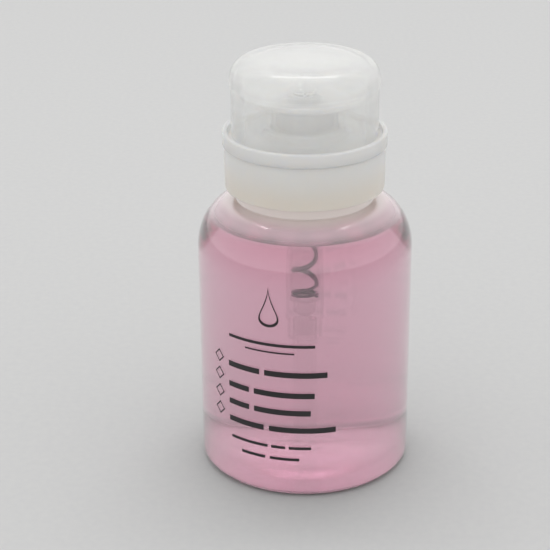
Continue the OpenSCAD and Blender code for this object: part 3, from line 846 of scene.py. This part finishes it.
# %% The collar
collar_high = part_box("screw_collar")[1]
SKIRT = 1.1
THREAD_R = NECK_ROOT_R + THREAD_H
INNER_SKIRT_R = THREAD_R + 0.35
COLLAR_R = 22.75
COLLAR_TOP_R = collar_high.x / MM
SPIGOT_TOP = collar_high.z / MM
COLLAR_TOP = SPIGOT_TOP - 1.4
SPIGOT_R = 20.7
COLLAR_HOLE_R = 12.6
collar_outline = soften([
    (COLLAR_HOLE_R, COLLAR_TOP, 0.2),
    (COLLAR_HOLE_R, COLLAR_TOP - 1.2, 0.2),
    (INNER_SKIRT_R, COLLAR_TOP - 1.2, 0.3),
    (INNER_SKIRT_R, COLLAR_LOW + 0.6, 0.3),
    (INNER_SKIRT_R + SKIRT, COLLAR_LOW + 0.6, 0.3),
    (INNER_SKIRT_R + SKIRT, COLLAR_TOP - 1.2, 0.3),
    (COLLAR_TOP_R - SKIRT, COLLAR_TOP - 1.2, 0.3),
    (COLLAR_R - SKIRT, COLLAR_LOW, 0.3),
    (COLLAR_R, COLLAR_LOW, 0.45),
    (COLLAR_TOP_R, COLLAR_TOP, 0.25),
    (SPIGOT_R, COLLAR_TOP, 0.2),
    (SPIGOT_R, SPIGOT_TOP, 0.2),
    (SPIGOT_R - SKIRT, SPIGOT_TOP, 0.2),
    (SPIGOT_R - SKIRT, COLLAR_TOP, 0.2),
], closed=True)
collar = turned("collar_shell", collar_outline, MILKY)
COLLAR_THREAD_Z = COLLAR_LOW + 1.8
COLLAR_THREAD_ANGLE = 2 * math.pi * (0.5 - (THREAD_START - COLLAR_THREAD_Z) / THREAD_PITCH)
collar_ridge = ridge(INNER_SKIRT_R + 0.3, INNER_SKIRT_R - THREAD_H)
collar_thread = thread("collar_thread", collar_ridge, MILKY, COLLAR_THREAD_Z, COLLAR_THREAD_ANGLE)
collar = join("collar_shell", collar, collar_thread)
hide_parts("screw_collar")
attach(collar, "closure")
report(collar)

# %% [markdown]
# The deck ring snaps on the collar. It closes the top round the hub, keeps drips in behind its lip,
# and carries two ears at the back for the lid's hinge. The ears are small flat plates with a round
# head, made from an outline, given a thickness and bevelled, because they aren't round about the
# bottle's axis.

# %% The deck ring
deck_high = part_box("deck_ring")[1]
BEAD_R = deck_high.x / MM
BEAD_TOP = COLLAR_TOP + 4.0
DECK_Z = COLLAR_TOP + 2.6
LIP_R = BEAD_R - 1.45
GUIDE_R = 9.7
GUIDE_TOP = DECK_Z + 2.7
lid_low, lid_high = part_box("flip_lid")
LID_R = LIP_R - 1.05
HINGE_Y = LID_R + 2.75
HINGE_Z = BEAD_TOP + 2.4
EAR_X = 4.1
EAR_W = 2.5
EAR_R = 2.17
PIN_R = 0.95
PIN_PLAY = 0.07
PLATE_BEVEL = 0.2
BEVEL_OVER = math.radians(50)
deck_outline = soften([
    (GUIDE_R, SPIGOT_TOP, 0.2),
    (SPIGOT_R + 0.02, SPIGOT_TOP, 0.2),
    (SPIGOT_R + 0.02, COLLAR_TOP, 0.2),
    (BEAD_R, COLLAR_TOP, 0.35),
    (BEAD_R, BEAD_TOP, 0.45),
    (LIP_R, BEAD_TOP, 0.35),
    (LIP_R, DECK_Z, 0.4),
    (GUIDE_R + 2.8, DECK_Z, 0.4),
    (GUIDE_R + 1.7, DECK_Z + 1.1, 0.4),
    (GUIDE_R + 1.7, GUIDE_TOP, 0.4),
    (GUIDE_R, GUIDE_TOP, 0.35),
], closed=True)
deck = turned("deck_and_lip", deck_outline, DECK)


def made_from(name, work, material):
    """Ends a bmesh and makes it an object with one finish."""
    mesh = bpy.data.meshes.new(name)
    work.to_mesh(mesh)
    work.free()
    mesh.materials.append(material)
    return in_scene(name, mesh)


def bevelled(obj, width):
    """Rounds the edges of a plate and shades it smooth."""
    work = bmesh.new()
    work.from_mesh(obj.data)
    bmesh.ops.remove_doubles(work, verts=work.verts, dist=JOIN_DISTANCE)
    sharp = [e for e in work.edges if len(e.link_faces) == 2 and e.calc_face_angle() > BEVEL_OVER]
    bmesh.ops.bevel(work, geom=sharp, offset=width, segments=3, profile=0.5, affect="EDGES")
    bmesh.ops.recalc_face_normals(work, faces=work.faces)
    for face in work.faces:
        face.smooth = True
    work.to_mesh(obj.data)
    work.free()
    return obj


def hinge_plate(name, outline, x_start, width, material, hole=None, hole_steps=32):
    """A plate across the hinge, from (y, z) points in millimetres, with a round hole if asked."""
    work = bmesh.new()
    rim = [work.verts.new((x_start * MM, y * MM, z * MM)) for y, z in outline]
    edges = [work.edges.new((rim[i], rim[(i + 1) % len(rim)])) for i in range(len(rim))]
    if hole:
        y, z, r = hole
        ring = []
        for i in range(hole_steps):
            a = 2 * math.pi * i / hole_steps
            spot = Vector((x_start, y + r * math.cos(a), z + r * math.sin(a)))
            ring.append(work.verts.new(spot * MM))
        edges += [work.edges.new((ring[i], ring[(i + 1) % hole_steps])) for i in range(hole_steps)]
    bmesh.ops.triangle_fill(work, edges=edges, use_beauty=True)
    faces = work.faces[:]
    moved = bmesh.ops.extrude_face_region(work, geom=faces)
    verts = [g for g in moved["geom"] if isinstance(g, bmesh.types.BMVert)]
    bmesh.ops.translate(work, verts=verts, vec=(width * MM, 0, 0))
    bmesh.ops.recalc_face_normals(work, faces=work.faces)
    return bevelled(made_from(name, work, material), PLATE_BEVEL * MM)


ear_outline = arc((HINGE_Y, HINGE_Z), EAR_R, EAR_R, 0, 180, 20) + [
    (HINGE_Y - EAR_R, DECK_Z - 0.4),
    (BEAD_R - 0.8, COLLAR_TOP + 0.4),
    (HINGE_Y + EAR_R, BEAD_TOP),
]
ears = [
    hinge_plate("ear", ear_outline, x, EAR_W, DECK, hole=(HINGE_Y, HINGE_Z, PIN_R + PIN_PLAY))
    for x in (EAR_X, -EAR_X - EAR_W)
]
deck = join("deck_and_lip", deck, *ears)
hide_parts("deck_ring")
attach(deck, "closure")
report(deck)

# %% [markdown]
# The lid is a thin frosted cup with a domed top. The dome's outline follows one formula, nearly flat
# in the middle and steep at the edge. Under it the rim stands out as a grip for the finger. The
# barrel and the two pins of the hinge are moulded on, so they are joined to it.

# %% The lid
LID_T = 1.1
RIM_R = lid_high.x / MM
LID_TOP = lid_high.z / MM
LID_LOW = lid_low.z / MM
RIM_Z = DECK_Z + 15.1
DOME_H = LID_TOP - RIM_Z
DOME_POWER = 7.5


def dome(edge_r, edge_z, height, steps=40):
    """The domed top, from its edge to the axis."""
    points = []
    for i in range(steps, -1, -1):
        r = edge_r * math.sin(math.radians(90 * i / steps))
        points.append((r, edge_z + height * math.sqrt(max(0, 1 - (r / edge_r) ** DOME_POWER))))
    return points


lid_outline = soften([
    (LID_R - LID_T, LID_LOW + 2),
    (LID_R - LID_T, LID_LOW, 0.4),
    (LID_R, LID_LOW, 0.4),
    (LID_R, RIM_Z - 0.25, 0.3),
    (RIM_R, RIM_Z - 0.1, 0.25),
    (RIM_R, RIM_Z + 0.6),
], closed=False)
lid_outline += dome(RIM_R, RIM_Z, DOME_H)[5:]
lid_outline += dome(LID_R - LID_T, RIM_Z - LID_T + 0.4, DOME_H - 0.4)[::-1]
lid = turned("lid_shell", lid_outline + [lid_outline[0]], FROSTED, closed=False,
             segments=FINE_SEGMENTS)


def rod(name, radius, length, y, z, material, steps=40):
    """A round rod along X, centred on the bottle, with bevelled ends."""
    work = bmesh.new()
    turn = Matrix.Translation((0, y * MM, z * MM)) @ Matrix.Rotation(math.pi / 2, 4, "Y")
    bmesh.ops.create_cone(work, cap_ends=True, segments=steps, radius1=radius * MM, radius2=radius * MM,
                          depth=length * MM, matrix=turn)
    return bevelled(made_from(name, work, material), ROD_BEVEL * MM)


BARREL_W = 7.6
BARREL_R = 2.0
ROD_BEVEL = 0.15
PIN_END = EAR_X + EAR_W - 0.4
WEB_H = 3.2
barrel = rod("barrel", BARREL_R, BARREL_W, HINGE_Y, HINGE_Z, FROSTED)
pins = rod("pins", PIN_R, 2 * PIN_END, HINGE_Y, HINGE_Z, FROSTED)
web_outline = [
    (LID_R - 0.6, HINGE_Z - WEB_H / 2),
    (HINGE_Y, HINGE_Z - WEB_H / 2),
    (HINGE_Y, HINGE_Z + WEB_H / 2),
    (LID_R - 0.6, HINGE_Z + WEB_H / 2),
]
web = hinge_plate("web", web_outline, -BARREL_W / 2, BARREL_W, FROSTED)
lid = join("lid_shell", lid, barrel, pins, web)
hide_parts("flip_lid")
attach(lid, "lid")
report(lid)

# %% [markdown]
# The press dish is what the hand pushes. Its bowl slopes to a boss in the middle, where the nozzle
# insert sits, and its hub slides in the deck's guide ring.

# %% The press dish
dish_low, dish_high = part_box("press_dish")
DISH_R = dish_high.x / MM
DISH_RIM_Z = RIM_Z - 2.4
DISH_FLOOR = DISH_RIM_Z - 2.3
DISH_UNDER = DISH_FLOOR - 1.1
HUB_R = GUIDE_R - 0.3
HUB_LOW = dish_low.z / MM
nozzle_low, nozzle_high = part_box("nozzle_insert")
NOZZLE_TOP = nozzle_high.z / MM
NOZZLE_LOW = nozzle_low.z / MM
NOZZLE_R = nozzle_high.x / MM
STEM_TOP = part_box("stem")[1].z / MM
dish_outline = soften([
    (2.62, STEM_TOP - 4.2),
    (4.3, STEM_TOP - 4.2, 0.2),
    (4.3, DISH_UNDER, 0.3),
    (HUB_R - 1.2, DISH_UNDER, 0.3),
    (HUB_R - 1.2, HUB_LOW, 0.3),
    (HUB_R, HUB_LOW, 0.3),
    (HUB_R, DISH_UNDER, 0.4),
    (HUB_R + 3, DISH_UNDER, 0.8),
    (DISH_R - 0.6, DISH_RIM_Z - 1.8, 0.5),
    (DISH_R, DISH_RIM_Z - 1.2, 0.4),
    (DISH_R, DISH_RIM_Z, 0.45),
    (DISH_R - 1.1, DISH_RIM_Z, 0.45),
    (HUB_R + 3.4, DISH_FLOOR, 1.5),
    (5.4, DISH_FLOOR - 0.1, 0.5),
    (4.3, NOZZLE_TOP - 0.9, 0.3),
    (4.0, NOZZLE_TOP - 0.4, 0.2),
    (NOZZLE_R + 0.02, NOZZLE_TOP - 0.4),
    (NOZZLE_R + 0.02, NOZZLE_LOW),
    (2.3, NOZZLE_LOW),
    (2.3, STEM_TOP),
    (2.62, STEM_TOP),
], closed=True)
dish = turned("press_dish_shell", dish_outline, LINED)
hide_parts("press_dish")
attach(dish, "plunger")
report(dish)

# %% [markdown]
# The pump's housing hangs in the neck by its flange. Its barrel narrows to a tube that holds the
# spring, and ends in the valve and the socket of the dip tube. It shows through the liquid, so it is
# turned as finely as the collar.

# %% The pump housing
housing_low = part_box("pump_housing")[0]
CUP_R = HUB_R + 2.8
CUP_FLOOR = HUB_LOW - 8.3
CUP_UNDER = CUP_FLOOR - 1.2
CYLINDER_R = 5.5
CYLINDER_OUT = 6.6
CYLINDER_FOOT = 72.0
TUBE_R = 3.2
TUBE_OUT = 3.95
seat_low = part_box("spring_seat")[0]
VALVE_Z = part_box("inlet_ball")[0].z / MM + 0.343
SOCKET_LOW = housing_low.z / MM
SOCKET_TOP = SOCKET_LOW + 6.2
FLANGE_R = 18.6
housing_outline = soften([
    (CUP_R - 1.2, COLLAR_TOP + 0.9, 0.2),
    (CUP_R - 1.2, CUP_FLOOR, 0.5),
    (CYLINDER_OUT, CUP_FLOOR, 0.3),
    (CYLINDER_OUT, CUP_FLOOR + 3.8, 0.2),
    (CYLINDER_R, CUP_FLOOR + 3.8, 0.2),
    (CYLINDER_R, CYLINDER_FOOT + 0.3, 0.6),
    (TUBE_R, CYLINDER_FOOT - 2.0, 0.6),
    (TUBE_R, seat_low.z / MM),
    (2.35, seat_low.z / MM),
    (2.35, VALVE_Z + 1.15, 0.2),
    (1.2, VALVE_Z, 0.1),
    (1.2, SOCKET_TOP),
    (2.52, SOCKET_TOP),
    (2.52, SOCKET_LOW, 0.15),
    (3.62, SOCKET_LOW, 0.3),
    (3.62, SOCKET_TOP - 0.4, 0.2),
    (TUBE_OUT, SOCKET_TOP, 0.2),
    (TUBE_OUT, CYLINDER_FOOT - CYLINDER_OUT + TUBE_OUT, 0.8),
    (CYLINDER_OUT, CYLINDER_FOOT, 0.8),
    (CYLINDER_OUT, CUP_UNDER, 0.5),
    (CUP_R, CUP_UNDER, 0.5),
    (CUP_R, NECK_TOP + 1.0, 0.2),
    (FLANGE_R, NECK_TOP + 1.0, 0.2),
    (FLANGE_R, NECK_TOP + 2.2, 0.2),
    (CUP_R, NECK_TOP + 2.2, 0.1),
    (CUP_R, COLLAR_TOP + 0.1, 0.1),
    (CUP_R + 0.9, COLLAR_TOP + 0.1, 0.1),
    (CUP_R + 0.9, COLLAR_TOP + 0.5, 0.1),
    (CUP_R, COLLAR_TOP + 0.9, 0.1),
], closed=True)
housing = turned("pump_barrel", housing_outline, NATURAL)
housing.data.materials.append(WETTED)
print("finishes of the housing:", [material.name for material in housing.data.materials])
for face in housing.data.polygons:
    face.material_index = 1 if face.center.z < FILL_Z * MM else 0
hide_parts("pump_housing")
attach(housing, "pump_unit")
report(housing)

# %% [markdown]
# The spring is a wire along a path. The path is a polyline: one and a half closed turns at the foot,
# open turns up the barrel, one closed turn under the piston. A second tree sweeps a round wire along
# it and closes the ends.

# %% The spring
spring_low, spring_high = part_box("return_spring")
WIRE = 0.84
COIL_R = spring_high.x / MM - WIRE / 2
OPEN_PITCH = 4.6
CLOSED_PITCH = WIRE + 0.1
FOOT_TURNS = 1.5
TOP_TURNS = 1.0
WIRE_SIDES = 14


def wire_tree():
    """Sweeps a round wire along the object's own edges."""
    tree, given = start_tree("swept_wire", "Wire", {
        "Path": ("Geometry", None),
        "Wire radius": ("Float", 0.001),
        "Wire sides": ("Int", WIRE_SIDES),
        "Finish": ("Material", None),
    })
    nodes, links = tree.nodes, tree.links
    path = nodes.new("GeometryNodeMeshToCurve")
    section = nodes.new("GeometryNodeCurvePrimitiveCircle")
    links.new(given.outputs["Wire radius"], section.inputs["Radius"])
    links.new(given.outputs["Wire sides"], section.inputs["Resolution"])
    sweep = nodes.new("GeometryNodeCurveToMesh")
    sweep.inputs["Fill Caps"].default_value = True
    links.new(given.outputs["Path"], path.inputs[0])
    links.new(path.outputs[0], sweep.inputs["Curve"])
    links.new(section.outputs[0], sweep.inputs["Profile Curve"])
    smooth = nodes.new("GeometryNodeSetShadeSmooth")
    links.new(merged(tree, sweep.outputs[0]), smooth.inputs[0])
    finish_tree(tree, given, smooth.outputs[0])
    return tree


def spring_path(foot_z, top_z, steps=28):
    """Points along the spring's wire."""
    closed_turns = FOOT_TURNS + TOP_TURNS
    open_turns = (top_z - foot_z - WIRE - closed_turns * CLOSED_PITCH) / OPEN_PITCH
    turns = open_turns + closed_turns
    count = math.ceil(turns * steps)
    points = []
    for i in range(count + 1):
        t = turns * i / count
        z = foot_z + WIRE / 2 + CLOSED_PITCH * min(t, FOOT_TURNS)
        z += OPEN_PITCH * max(0, min(t - FOOT_TURNS, open_turns))
        z += CLOSED_PITCH * max(0, t - FOOT_TURNS - open_turns)
        a = 2 * math.pi * t
        points.append((COIL_R * math.cos(a) * MM, COIL_R * math.sin(a) * MM, z * MM))
    return points


def make_spring():
    """The return spring, as a plain mesh."""
    points = spring_path(spring_low.z / MM, spring_high.z / MM)
    mesh = bpy.data.meshes.new("spring_coil")
    mesh.from_pydata(points, [(i, i + 1) for i in range(len(points) - 1)], [])
    obj = in_scene("spring_coil", mesh)
    sizes = {"Wire radius": WIRE / 2 * MM, "Wire sides": WIRE_SIDES, "Finish": SPRING_WIRE}
    run_tree(obj, wire_tree(), sizes)
    return face_outwards(obj)


spring = make_spring()
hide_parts("return_spring")
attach(spring, "pump_unit")
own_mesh(spring)
report(spring)

# %% [markdown]
# The small inner pieces keep their shapes from the frame, because turned CAD surfaces are already
# true. They only need their finish.

# %% Finishes of the small pieces
SMALL_PIECES = {
    "neck_gasket": FOAM,
    "cylinder_cap": NATURAL,
    "dip_tube": TUBE,
    "spring_seat": WETTED,
    "inlet_ball": BALL_GLASS,
    "outlet_ball": BALL_STEEL,
    "nozzle_insert": NATURAL,
    "stem": NATURAL,
    "piston": NATURAL,
    "piston_seal": SOFT,
}
for node_name, material in SMALL_PIECES.items():
    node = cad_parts[node_name]
    node.data.materials.clear()
    node.data.materials.append(material)
print("finished:", ", ".join(SMALL_PIECES))

# %% [markdown]
# The front carries a plain screen print: a drop, thin rules, rows of blocks and four small diamonds.
# Each mark is drawn on a flat sheet, and a tree wraps the sheet round the bottle and gives the ink
# its thickness, so the marks follow the wall as real ink does. Distances along the sheet are
# distances round the wall.

# %% The print
INK_R = BODY_R - 0.02
INK_THICK = 0.035
INK_STEP = 1.0
PRINT_MIDDLE = -10.3
DIAMOND_X = -28.0
DIAMOND_HALF = 2.1
DIAMOND_LINE = 0.55
DIAMOND_ROWS = (40.2, 34.7, 29.1, 23.5)
DROP_Z = 57.4
DROP_R = 3.9
DROP_H = 4.4
DROP_LINE = 1.2
# Each row of blocks: its height on the bottle, its thickness, and where its blocks start and end.
BLOCK_ROWS = (
    (48.2, 0.9, ((PRINT_MIDDLE - 13.2, PRINT_MIDDLE + 13.2),)),
    (45.9, 0.5, ((PRINT_MIDDLE - 7.4, PRINT_MIDDLE + 7.4),)),
    (39.3, 1.7, ((-23.8, -13.2), (-11.7, 6.4))),
    (32.9, 1.7, ((-23.8, -16.6), (-15.0, 2.8))),
    (27.4, 1.7, ((-23.8, -16.6), (-15.0, 1.7))),
    (21.9, 1.7, ((-23.8, -12.0), (-10.4, 8.9))),
    (16.2, 0.9, ((-23.0, -10.8), (-9.8, -5.6), (-4.6, 1.8))),
    (12.5, 0.9, ((-19.3, -11.6), (-10.2, -1.6))),
)


def wrapping_tree():
    """Wraps a flat sheet round the Z axis and thickens it outwards."""
    tree, given = start_tree("wrapped_print", "Ink", {
        "Sheet": ("Geometry", None),
        "Wall radius": ("Float", 0.03),
        "Thickness": ("Float", 0.0001),
        "Finish": ("Material", None),
    })
    nodes, links = tree.nodes, tree.links
    split = nodes.new("ShaderNodeSeparateXYZ")
    links.new(nodes.new("GeometryNodeInputPosition").outputs[0], split.inputs[0])
    radius = given.outputs["Wall radius"]
    angle = math_node(tree, "DIVIDE", split.outputs[0], radius)
    wrapped = nodes.new("ShaderNodeCombineXYZ")
    links.new(math_node(tree, "MULTIPLY", radius, math_node(tree, "SINE", angle)), wrapped.inputs[0])
    away = math_node(tree, "MULTIPLY", radius, math_node(tree, "COSINE", angle))
    links.new(math_node(tree, "MULTIPLY", away, -1.0), wrapped.inputs[1])
    links.new(split.outputs[2], wrapped.inputs[2])
    place = nodes.new("GeometryNodeSetPosition")
    links.new(given.outputs["Sheet"], place.inputs["Geometry"])
    links.new(wrapped.outputs[0], place.inputs["Position"])
    thicken = nodes.new("GeometryNodeExtrudeMesh")
    thicken.inputs["Individual"].default_value = False
    links.new(place.outputs[0], thicken.inputs["Mesh"])
    links.new(given.outputs["Thickness"], thicken.inputs["Offset Scale"])
    inner_face = nodes.new("GeometryNodeFlipFaces")
    links.new(place.outputs[0], inner_face.inputs[0])
    both = nodes.new("GeometryNodeJoinGeometry")
    links.new(thicken.outputs["Mesh"], both.inputs[0])
    links.new(inner_face.outputs[0], both.inputs[0])
    finish_tree(tree, given, merged(tree, both.outputs[0]))
    return tree


def bar(work, start, end, z, height):
    """A flat bar on the sheet, in short steps so that it can bend."""
    count = max(1, round((end - start) / INK_STEP))
    rows = []
    for level in (z - height / 2, z + height / 2):
        rows.append([work.verts.new(((start + (end - start) * i / count) * MM, 0, level * MM))
                     for i in range(count + 1)])
    for i in range(count):
        work.faces.new((rows[0][i], rows[0][i + 1], rows[1][i + 1], rows[1][i]))


def outline_mark(work, points, thick):
    """A closed line on the sheet, between an outline and a smaller copy of it."""
    middle = Vector((sum(p[0] for p in points), sum(p[1] for p in points))) / len(points)
    size = max((Vector(p) - middle).length for p in points)
    rings = []
    for scale in (1 - thick / size, 1):
        ring = [middle + (Vector(p) - middle) * scale for p in points]
        rings.append([work.verts.new((x * MM, 0, z * MM)) for x, z in ring])
    count = len(points)
    for i in range(count):
        j = (i + 1) % count
        work.faces.new((rings[1][i], rings[1][j], rings[0][j], rings[0][i]))


def drop_outline(x, z, radius, height, steps=36):
    """A drop: a round foot that draws out to a point."""
    points = []
    for i in range(steps):
        a = 2 * math.pi * i / steps
        lift = (1 + math.cos(a)) / 2
        across = radius * math.sin(a) * (1 - lift ** 1.5)
        up = radius * math.cos(a) + height * lift ** 4
        points.append((x + across, z + up))
    return points


def make_print():
    """All the marks as one piece."""
    work = bmesh.new()
    for z, height, blocks in BLOCK_ROWS:
        for start, end in blocks:
            bar(work, start, end, z, height)
    for z in DIAMOND_ROWS:
        corners = arc((DIAMOND_X, z), DIAMOND_HALF, DIAMOND_HALF, -90, 180, 3)
        outline_mark(work, corners, DIAMOND_LINE)
    outline_mark(work, drop_outline(PRINT_MIDDLE, DROP_Z, DROP_R, DROP_H), DROP_LINE)
    bmesh.ops.recalc_face_normals(work, faces=work.faces)
    for face in work.faces:
        face.normal_update()
        if face.normal.y > 0:
            face.normal_flip()
    obj = made_from("front_print", work, INK)
    sizes = {"Wall radius": INK_R * MM, "Thickness": INK_THICK * MM, "Finish": INK}
    run_tree(obj, wrapping_tree(), sizes)
    one_finish(obj, INK)
    return face_outwards(obj)


front_print = make_print()
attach(front_print, "bottle")
report(front_print)
